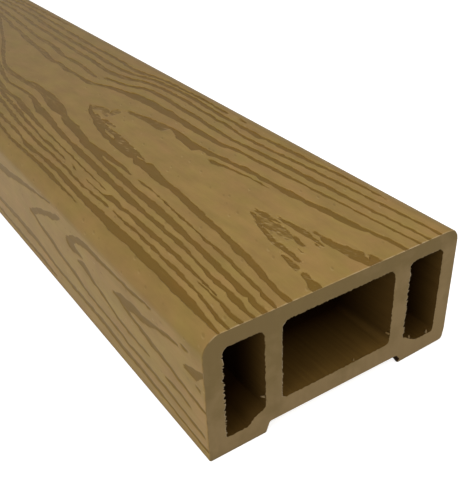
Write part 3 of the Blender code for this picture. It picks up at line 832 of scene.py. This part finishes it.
def makeRail():
    rail = joinInto(makeSkin(), [makeUnderside()])
    openForEditing(rail, "EDGE")
    bpy.ops.mesh.select_all(action="SELECT")
    bpy.ops.mesh.remove_doubles(threshold=underside["seam"] * mm)
    bpy.ops.mesh.select_mode(type="VERT")
    pick("verts", lambda corner: corner.co.y < nearY + 0.5 * mm and corner.co.z < underside["wornReach"] * mm
         and corner.co.x > (halfWidth - underside["wornReach"]) * mm)
    moveBy(*underside["wornCorner"], use_proportional_edit=True,
           proportional_edit_falloff="SMOOTH", proportional_size=underside["wornRun"] * mm)
    bpy.ops.mesh.select_mode(type="EDGE")
    pick("edges", lambda edge: all(atEnd(corner) for corner in edge.verts))
    bpy.ops.transform.shrink_fatten(value=-skin["arris"] / 2 * mm)
    squareOff(rail)
    deselectAll()
    mark(rail.data, "brokenEdge", [float(atEnd(corner)) for corner in rail.data.vertices])
    joinInto(rail, [makeChamber(name) for name in chambers["seeds"]])
    openForEditing(rail, "EDGE")
    for sign in (-1, 1):
        pick("edges", lambda edge: edge.is_boundary and all(atEnd(corner, sign) for corner in edge.verts))
        bpy.ops.mesh.fill(use_beauty=True)
    bpy.ops.mesh.select_all(action="SELECT")
    bpy.ops.mesh.normals_make_consistent(inside=False)
    cage = bmesh.from_edit_mesh(rail.data)
    loose = sum(1 for edge in cage.edges if not edge.is_manifold)
    deselectAll()
    joinInto(rail, [makeSliver(name, seed) for seed, name in enumerate(slivers)])
    print("rail:", sum(len(face.vertices) - 2 for face in rail.data.polygons), "triangles,", loose, "open edges")
    return rail


rail = makeRail()


# a value is a number, a vector, a colour, or a node with the name of its socket
def feed(tree, value, node, entry):
    if isinstance(value, tuple) and isinstance(value[0], bpy.types.Node):
        tree.links.new(value[0].outputs[value[1]], node.inputs[entry])
    elif node.inputs[entry].type == "RGBA":
        node.inputs[entry].default_value = (*value, 1.0)
    else:
        node.inputs[entry].default_value = value


def addNode(tree, kind, entries, **settings):
    node = tree.nodes.new(kind)
    for name, setting in settings.items():
        setattr(node, name, setting)
    for entry, value in entries.items():
        feed(tree, value, node, entry)
    return node


def math2(tree, operation, first, second=0.0, clamp=False):
    return (addNode(tree, "ShaderNodeMath", {0: first, 1: second}, operation=operation, use_clamp=clamp), 0)


def times(tree, first, second):
    return math2(tree, "MULTIPLY", first, second)


def mapRange(tree, value, fromLow, fromHigh, toLow=0.0, toHigh=1.0):
    entries = {"Value": value, "From Min": fromLow, "From Max": fromHigh, "To Min": toLow, "To Max": toHigh}
    return (addNode(tree, "ShaderNodeMapRange", entries, clamp=True), "Result")


def mixColour(tree, factor, first, second):
    entries = {0: factor, 6: first, 7: second}  # factor, A and B of a colour mix
    return (addNode(tree, "ShaderNodeMix", entries, data_type="RGBA", clamp_factor=True), 2)


def attribute(tree, name):
    return (addNode(tree, "ShaderNodeAttribute", {}, attribute_name=name), "Fac")


patterns = {  # noise as scale, detail, stretch, roughness and slant, then the span of it that counts
    "patches": ((150.0, 3.0, (1, 0.5, 1)), (0.30, 0.70)),
    "shade": ((160.0, 4.0, (1, 0.4, 1), 0.6), (0.32, 0.68)),
    "streaks": ((700.0, 2.0, (1, 0.05, 1)), (0.3, 0.7)),
    "hairs": ((1300.0, 1.0, (1, 0.25, 1), 0.6, -26), None),
    "ragged": ((1300.0, 1.5, (1, 0.11, 1), 0.6), None),
    "rubbed": ((260.0, 3.0), (0.38, 0.62, 0.25, 1.0)),
    "sawMarks": ((420.0, 2.0, (1.0, 1.0, 0.08)), (0.3, 0.7)),
    "flecks": ((900.0, 1.0), (0.42, 0.58, 0.35, 1.0)),
}


def noiseOn(tree, vector, scale, detail, stretch=(1, 1, 1), roughness=0.5, slant=0):
    mapping = addNode(tree, "ShaderNodeMapping", {
        "Vector": vector, "Rotation": (0, 0, math.radians(-slant)), "Scale": [1 / share for share in stretch],
    }, vector_type="TEXTURE")
    noise = addNode(tree, "ShaderNodeTexNoise", {
        "Vector": (mapping, "Vector"), "Scale": scale, "Detail": detail, "Roughness": roughness})
    return (noise, "Fac")


def pattern(tree, name, vector):
    shape, span = patterns[name]
    noise = noiseOn(tree, vector, *shape)
    return mapRange(tree, noise, *span) if span else noise


marks = {  # short dashes, a few in each square inch
    "slant": -25,
    "length": 2.2,
    "scale": 260.0,
    "size": (0.16, 0.08),
    # how far to one side of each pit its painted highlight lies
    "lipShift": (0.0004, 0.0003, 0.0002),
}


def sparseMarks(tree, vector):
    turned = addNode(tree, "ShaderNodeMapping", {
        "Vector": vector, "Rotation": (0, 0, math.radians(marks["slant"])), "Scale": (1, marks["length"], 1),
    }, vector_type="TEXTURE")
    cells = addNode(tree, "ShaderNodeTexVoronoi", {"Vector": (turned, "Vector"), "Scale": marks["scale"]})
    return mapRange(tree, (cells, "Distance"), *marks["size"])


def makeMottle():  # slow patches of tone, streaks along the fibre, and a few small pits, each with a painted highlight on one lip
    group = bpy.data.node_groups.new("mottle", "ShaderNodeTree")
    group.interface.new_socket("Vector", in_out="INPUT", socket_type="NodeSocketVector")
    here = (group.nodes.new("NodeGroupInput"), "Vector")
    moved = (addNode(group, "ShaderNodeVectorMath", {0: here, 1: marks["lipShift"]}, operation="ADD"), 0)
    pits, pitHighlights = (sparseMarks(group, place) for place in (here, moved))
    results = {name: pattern(group, name, here) for name in ("patches", "shade", "streaks", "hairs")}
    results["pits"] = pits
    # painted highlight: a pale crescent where the shifted pit does not overlap the pit
    results["pitHighlights"] = math2(group, "SUBTRACT", pitHighlights, pits, clamp=True)
    for name in results:
        group.interface.new_socket(name, in_out="OUTPUT", socket_type="NodeSocketFloat")
    end = group.nodes.new("NodeGroupOutput")
    for name, value in results.items():
        feed(group, value, end, name)
    return group


mottle = makeMottle()

finish = {
    "raised": (0.310, 0.209, 0.057),
    "raisedWarm": (0.331, 0.198, 0.066),
    "pressed": (0.167, 0.097, 0.016),
    "pressedWarm": (0.183, 0.098, 0.017),
    "pressedSide": (0.157, 0.083, 0.001),
    "sawn": (0.180, 0.125, 0.050),
    # the cut face's paler tone, which carries its random pale patches and its painted light
    "sawnPaleAndPaintedLight": (0.243, 0.168, 0.077),
    "inside": (0.080, 0.042, 0.0087),
    # painted light on the middle chamber's floor, and also the dull slivers' tone
    "litFloorAndDullSliver": (0.150, 0.082, 0.018),
    # painted shade deep in the chambers and on the recess walls, and also the streaks' tone
    "insideShadeAndStreak": (0.014, 0.005, 0.0006),
    "arris": (0.415, 0.303, 0.165),
    "arrisSide": (0.135, 0.088, 0.030),
    # painted shadow along the foot of the cut face and of its broken edge
    "footShadowTone": (0.110, 0.092, 0.052),
    # pale torn rim and slivers, which also carry the rim's painted highlight
    "burrAndPaintedHighlight": (0.360, 0.290, 0.190),
    "gloss": 0.06,
    "raisedRoughness": 0.5,
    "pressedRoughness": 0.45,
    "sawnRoughness": 0.7,
    "insideRoughness": 0.6,
}
overlays = {  # a tone that is laid over another, and the most of it that shows
    "shade": ((0.16, 0.10, 0.03), 0.36),
    "streaks": ((0.20, 0.115, 0.034), 0.12),
    "pits": ((0.12, 0.07, 0.015), 0.28),
    # painted highlight on one lip of each pit
    "pitHighlights": ((0.46, 0.33, 0.15), 0.3),
    "pressedStreak": ((0.115, 0.062, 0.012), 0.25),
    # painted shade low on the sides, just above the foot
    "foot": (finish["pressedSide"], 0.4),
    "tornHair": ((0.44, 0.31, 0.14), 0.6),
    # painted shade on the rounded hand edges
    "paintedRoundingShade": ((0.16, 0.10, 0.03), 0.22),
    "sawMark": ((0.15, 0.10, 0.045), 0.18),
    # painted shadow along the cut face's foot
    "sawnFootShadow": (finish["footShadowTone"], 0.7),
    "insideStreak": (finish["insideShadeAndStreak"], 0.2),
}
zones = {  # where one tone gives way to another: metres from the middle or above the feet, then the shares there
    "side": (0.046, 0.0495),
    "footShade": (0.0036, 0.0012),
    "arrisTop": (0.0455, 0.0470),
    # painted shadow: the broken edge is painted dark along the foot
    "arrisFootShadow": (0.004, 0.001),
    "sawnPaintedBounceLight": (0.044, 0.004, -0.45, 0.45),  # painted light: the cut face is painted paler toward the foot, as if lit from the floor below, and toward the right
    "sawnPaintedRightLight": (-0.05, 0.05, -0.3, 0.4),
    # painted shade: the cut face is painted darker at the top
    "sawnPaintedTopShade": (0.040, 0.0435, 0.0, -0.35),
    # painted shadow: a dark band along the cut face's foot
    "sawnFootShadow": (0.0009, 0.0),
    "middleChamber": 0.026,
    # painted light: the middle chamber's floor is painted paler
    "middleFloorPaintedLight": (0.0145, 0.0105),
    # painted shadow: the recess walls are painted near black
    "recess": (0.0050, 0.0042, 0.0, 0.95),
    "mouth": 0.001,  # painted shade: the chambers are painted darker from this far inside the mouth to one of the next two
    "insideRun": 0.027,
    "insideRunSlim": 0.016,
}
relief = {
    "ragged": 1.2,  # how much noise and torn hairs shift a line's painted edge
    "hairs": 1.8,
    "edge": (0.30, 0.80),  # span of the pressed depth over which the tone changes
    "hairLight": (0.09, 0.20),
    "brokenEdge": (0.05, 0.6),
    "rim": (0.1, 0.8),  # burr values: the pale rim with its painted highlight, the slivers' paler part, the dull slivers
    "sliver": (1.2, 2.0, 1.0, 0.35),
    "dull": (2.0, 3.0),
    "insidePower": 1.2,
    "streakHeight": 0.4,
    "grainBump": (0.5, 0.00012),  # strength and distance
    "sawBump": (0.3, 0.0001),
}


def newMaterial(name, roughness):
    material = bpy.data.materials.new(name)
    material.use_nodes = True
    tree = material.node_tree
    shader = tree.nodes["Principled BSDF"]
    feed(tree, roughness, shader, "Roughness")
    feed(tree, finish["gloss"], shader, "Specular IOR Level")
    here = (addNode(tree, "ShaderNodeTexCoord", {}), "Object")
    effect = addNode(tree, "ShaderNodeGroup", {"Vector": here}, node_tree=mottle)
    place = addNode(tree, "ShaderNodeSeparateXYZ", {"Vector": here})
    return material, tree, shader, here, place, effect


def layOver(tree, colour, name, mask):
    tone, most = overlays[name]
    return mixColour(tree, times(tree, mask, most), colour, tone)


def finishOff(tree, shader, colour, height, bump):
    strength, distance = bump
    feed(tree, colour, shader, "Base Color")
    entries = {"Strength": strength, "Distance": distance, "Height": height}
    feed(tree, (addNode(tree, "ShaderNodeBump", entries), "Normal"), shader, "Normal")


def makeEmbossed():
    material, tree, shader, here, place, effect = newMaterial("embossedTeak", finish["raisedRoughness"])
    grain, frayed, paintedRoundingShade, brokenEdge = (
        attribute(tree, name) for name in ("grain", "frayed", "paintedRoundingShade", "brokenEdge"))
    hair = math2(tree, "SUBTRACT", (effect, "hairs"), 0.5)
    torn = times(tree, math2(tree, "SUBTRACT", pattern(tree, "ragged", here), 0.5), relief["ragged"])
    torn = math2(tree, "SUBTRACT", torn, times(tree, times(tree, frayed, relief["hairs"]), hair))
    mask = mapRange(tree, math2(tree, "ADD", grain, torn), *relief["edge"])
    raised = mixColour(tree, (effect, "patches"), finish["raised"], finish["raisedWarm"])
    for name in ("shade", "streaks", "pits", "pitHighlights"):
        raised = layOver(tree, raised, name, (effect, name))
    onSide = mapRange(tree, math2(tree, "ABSOLUTE", (place, "X")), *zones["side"])
    pressed = mixColour(tree, (effect, "patches"), finish["pressed"], finish["pressedWarm"])
    pressed = mixColour(tree, onSide, pressed, finish["pressedSide"])
    pressed = layOver(tree, pressed, "pressedStreak", (effect, "streaks"))
    colour = mixColour(tree, mask, raised, pressed)
    # painted shade: the sides are painted darker just above the foot
    colour = layOver(tree, colour, "foot", times(tree, onSide, mapRange(tree, (place, "Z"), *zones["footShade"])))
    colour = layOver(tree, colour, "tornHair", times(tree, mapRange(tree, hair, *relief["hairLight"]), frayed))
    # painted shade: the rounded hand edges are painted darker
    colour = layOver(tree, colour, "paintedRoundingShade", paintedRoundingShade)
    arris = mixColour(tree, mapRange(tree, (place, "Z"), *zones["arrisTop"]), finish["arrisSide"], finish["arris"])
    # painted shadow: the broken edge turns dark along the foot
    arris = mixColour(tree, mapRange(tree, (place, "Z"), *zones["arrisFootShadow"]), arris, finish["footShadowTone"])
    rubbed = times(tree, mapRange(tree, brokenEdge, *relief["brokenEdge"]), pattern(tree, "rubbed", here))
    colour = mixColour(tree, rubbed, colour, arris)
    rough = mapRange(tree, mask, 0, 1, finish["raisedRoughness"], finish["pressedRoughness"])
    feed(tree, rough, shader, "Roughness")
    height = math2(tree, "SUBTRACT", times(tree, (effect, "streaks"), relief["streakHeight"]), mask)
    finishOff(tree, shader, colour, height, relief["grainBump"])
    return material


def makeSawn():
    material, tree, shader, here, place, effect = newMaterial("sawnTeak", finish["sawnRoughness"])
    sawMarks = pattern(tree, "sawMarks", here)
    # painted light and shade: paler toward the foot and the right, darker at the top
    low, right, high = (mapRange(tree, (place, axis), *zones[name])
                        for axis, name in (("Z", "sawnPaintedBounceLight"), ("X", "sawnPaintedRightLight"), ("Z", "sawnPaintedTopShade")))
    high = math2(tree, "ADD", high, (effect, "patches"))
    tone = math2(tree, "ADD", math2(tree, "ADD", low, right), high, clamp=True)
    colour = mixColour(tree, tone, finish["sawn"], finish["sawnPaleAndPaintedLight"])
    colour = layOver(tree, colour, "sawMark", sawMarks)
    burrAndPaintedHighlight = attribute(tree, "burrAndPaintedHighlight")
    # painted highlight: the pale rim, strongest where the burr value says
    rim = times(tree, mapRange(tree, burrAndPaintedHighlight, *relief["rim"]), pattern(tree, "flecks", here))
    rim = times(tree, rim, mapRange(tree, burrAndPaintedHighlight, *relief["sliver"]))
    colour = mixColour(tree, rim, colour, finish["burrAndPaintedHighlight"])
    colour = mixColour(tree, mapRange(tree, burrAndPaintedHighlight, *relief["dull"]), colour, finish["litFloorAndDullSliver"])
    # painted shadow along the cut face's foot
    colour = layOver(tree, colour, "sawnFootShadow", mapRange(tree, (place, "Z"), *zones["sawnFootShadow"]))
    finishOff(tree, shader, colour, sawMarks, relief["sawBump"])
    return material


def makeInsideWithPaintedShade():
    material, tree, shader, here, place, effect = newMaterial("chamberTeakPaintedShade", finish["insideRoughness"])
    end, across = (math2(tree, "ABSOLUTE", (place, axis)) for axis in ("Y", "X"))
    middle = math2(tree, "LESS_THAN", across, zones["middleChamber"])
    # painted light: the middle chamber's floor is painted paler
    floor = times(tree, middle, mapRange(tree, (place, "Z"), *zones["middleFloorPaintedLight"]))
    # painted shade: darker inward from the mouth, sooner in the side chambers
    mouth = railLength / 2 * mm
    wide, slim = (mapRange(tree, end, mouth - zones["mouth"], mouth - zones[name])
                  for name in ("insideRun", "insideRunSlim"))
    wide = times(tree, math2(tree, "POWER", wide, relief["insidePower"]), middle)
    slim = times(tree, slim, math2(tree, "SUBTRACT", 1.0, middle))
    deep = math2(tree, "ADD", wide, slim)
    # painted shadow: the recess walls are painted near black
    deep = math2(tree, "MAXIMUM", deep, mapRange(tree, (place, "Z"), *zones["recess"]))
    colour = mixColour(tree, floor, finish["inside"], finish["litFloorAndDullSliver"])
    colour = mixColour(tree, deep, colour, finish["insideShadeAndStreak"])
    colour = layOver(tree, colour, "insideStreak", (effect, "streaks"))
    finishOff(tree, shader, colour, (effect, "streaks"), relief["sawBump"])
    return material


dressing = {  # which faces take which finish
    "sliver": 1.5,  # burr value
    "sawn": 0.12,  # from the end planes
    "arris": 0.41,
    "outerWall": 3.0,
    "footZ": 0.3,
    "chamberZ": 5.0,
    "recessX": (27, 29),
    "recessZ": 3.8,
    "smoothAngle": 28,
}


def finishFor(face, burrAndPaintedHighlight):  # 0 embossed, 1 sawn, 2 inside, with painted shade
    x, y, z = face.center / mm
    across, fromEnd = abs(x), railLength / 2 - abs(y)
    wallX, topZ, footZ = halfWidth - dressing["outerWall"], railHeight - dressing["outerWall"], dressing["footZ"]
    nearX, farX = dressing["recessX"]
    if burrAndPaintedHighlight > dressing["sliver"] or abs(face.normal.y) > 0.9 and fromEnd < dressing["sawn"]:
        return 1
    if fromEnd < dressing["arris"] and (across > wallX or z > topZ or z < footZ):
        return 0
    inChamber = across < wallX and dressing["chamberZ"] < z < topZ
    # the recess walls take the inside finish, which paints them near black as painted shadow
    inRecess = nearX < across < farX and footZ < z < dressing["recessZ"]
    return 2 if inChamber or inRecess else 0


def dressRail():
    for material in (makeEmbossed(), makeSawn(), makeInsideWithPaintedShade()):
        rail.data.materials.append(material)
    burrAndPaintedHighlight = rail.data.attributes["burrAndPaintedHighlight"].data
    for face in rail.data.polygons:
        face.material_index = finishFor(face, burrAndPaintedHighlight[face.vertices[0]].value)
    deselectAll()
    rail.select_set(True)
    bpy.context.view_layer.objects.active = rail
    bpy.ops.object.shade_smooth_by_angle(angle=math.radians(dressing["smoothAngle"]))
    weighted = rail.modifiers.new("weighted", "WEIGHTED_NORMAL")
    weighted.keep_sharp = True
    bpy.ops.object.modifier_apply(modifier="weighted")
    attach(rail, "root")
    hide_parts("handrail")
    print("rail dressed")


dressRail()

studio = {
    "worldLight": 0.44,
    "side": {"from": (-0.8, -0.15, 0.40), "light": 0.325, "softness": 50, "colour": (0.95, 1.0, 1.16)},
    "front": {"at": (-0.12, -1.38, 0.42), "watts": 1.03, "size": 0.30, "colour": (1.04, 1.0, 0.92)},
    "above": {"at": (-0.015, -0.895, 0.29), "watts": 0.163, "size": 0.12, "colour": (1.02, 1.0, 0.96)},
    "floorSize": 30,
    "floorDrop": 0.0002,
    "floorGlow": 0.72,
    "floorTone": 0.8,
}


def seenDirectly(tree):  # camera, mirror and glass rays
    path = addNode(tree, "ShaderNodeLightPath", {})
    seen = math2(tree, "MAXIMUM", (path, "Is Camera Ray"), (path, "Is Glossy Ray"))
    return math2(tree, "MAXIMUM", seen, (path, "Is Transmission Ray"))


def makeStudio():
    world = bpy.data.worlds.new("studio")
    bpy.context.scene.world = world
    world.use_nodes = True
    tree = world.node_tree
    background = tree.nodes["Background"]
    feed(tree, (1, 1, 1), background, "Color")
    feed(tree, mapRange(tree, seenDirectly(tree), 0, 1, studio["worldLight"], 1.0), background, "Strength")
    side = bpy.data.lights.new("side", "SUN")
    side.energy = studio["side"]["light"] * math.pi
    side.angle = math.radians(studio["side"]["softness"])
    side.color = studio["side"]["colour"]
    putInScene("side", side).rotation_euler = Vector(studio["side"]["from"]).to_track_quat("Z", "Y").to_euler()
    for name in ("front", "above"):  # two soft boxes near the sawn end, so the light falls off along the rail
        box = bpy.data.lights.new(name, "AREA")
        box.energy, box.size, box.color = studio[name]["watts"], studio[name]["size"], studio[name]["colour"]
        holder = putInScene(name, box)
        holder.location = studio[name]["at"]
        holder.rotation_euler = (holder.location - Vector((0, nearY, 0))).to_track_quat("Z", "Y").to_euler()
        holder.visible_camera = holder.visible_glossy = False
    deselectAll()
    bpy.ops.mesh.primitive_plane_add(size=studio["floorSize"], location=(0, 0, cadLow.z - studio["floorDrop"]))
    floor = bpy.context.object
    floor.name = "floor"
    material = bpy.data.materials.new("paleFloor")
    material.use_nodes = True
    tree = material.node_tree
    glow = times(tree, seenDirectly(tree), studio["floorGlow"])
    for entry, value in (("Base Color", (studio["floorTone"],) * 3), ("Roughness", 1.0),
                         ("Emission Color", (1, 1, 1)), ("Emission Strength", glow)):
        feed(tree, value, tree.nodes["Principled BSDF"], entry)
    floor.data.materials.append(material)
    print("studio lit")


makeStudio()

view = {
    "place": (-124.18, -135.68, 174.85),  # from the middle of the sawn end's foot
    "tilt": (55.867, 2.023, -33.770),
    "lens": 53.417,
    "sensor": 36,
    "shiftUp": 0.04,
    "sees": (0.01, 60),
}


def makeCamera():
    cameraData = bpy.data.cameras.new("camera")
    cameraData.lens = view["lens"]
    cameraData.sensor_width = view["sensor"]
    cameraData.shift_y = view["shiftUp"]
    cameraData.clip_start, cameraData.clip_end = view["sees"]
    camera = putInScene("camera", cameraData)
    x, y, z = view["place"]
    camera.location = (x * mm, nearY + y * mm, cadLow.z + z * mm)
    camera.rotation_euler = [math.radians(angle) for angle in view["tilt"]]
    bpy.context.scene.camera = camera
    bpy.context.scene.view_settings.view_transform = "Standard"
    print("camera set")


makeCamera()
